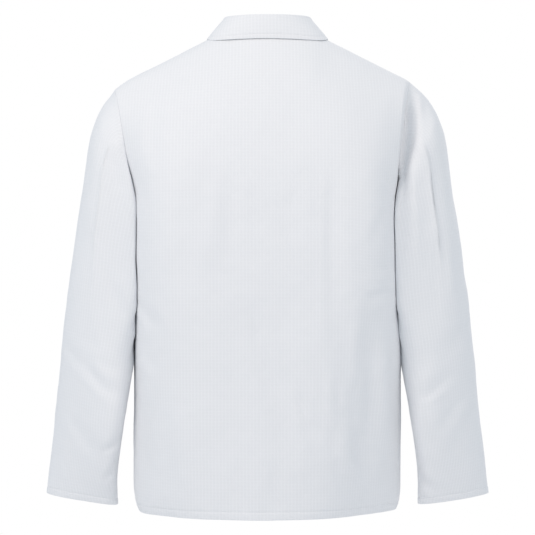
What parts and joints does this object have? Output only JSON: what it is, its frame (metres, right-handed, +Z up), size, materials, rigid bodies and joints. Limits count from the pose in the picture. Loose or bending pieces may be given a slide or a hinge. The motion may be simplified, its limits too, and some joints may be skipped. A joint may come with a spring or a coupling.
{
  "type": "lab jacket",
  "caption": "Hip-length buttoned work jacket with long set-in sleeves and a turned-down collar, filled out as if worn but with no wearer in it.",
  "frame": {"origin": "on the jacket's middle plane, level with where the shoulder seams meet the collar, midway between back and front there: where a wearer's shoulders carry it", "axes": "+Z up, +X to the wearer's left, -Y to the front, where the buttons are"},
  "size_m": [0.669, 0.2757, 0.7371],
  "materials": {
    "white_check_cloth": "matt white cotton mix with a fine woven check of the same white",
    "white_button": "smooth white plastic"
  },
  "bodies": {
    "root": {"back": "white_check_cloth", "front_left": "white_check_cloth", "front_right": "white_check_cloth", "sleeve_left": "white_check_cloth", "sleeve_right": "white_check_cloth", "collar_stand": "white_check_cloth", "collar_fall": "white_check_cloth", "button_1": "white_button", "button_2": "white_button", "button_3": "white_button", "button_4": "white_button", "button_5": "white_button"}
  },
  "joints": []
}
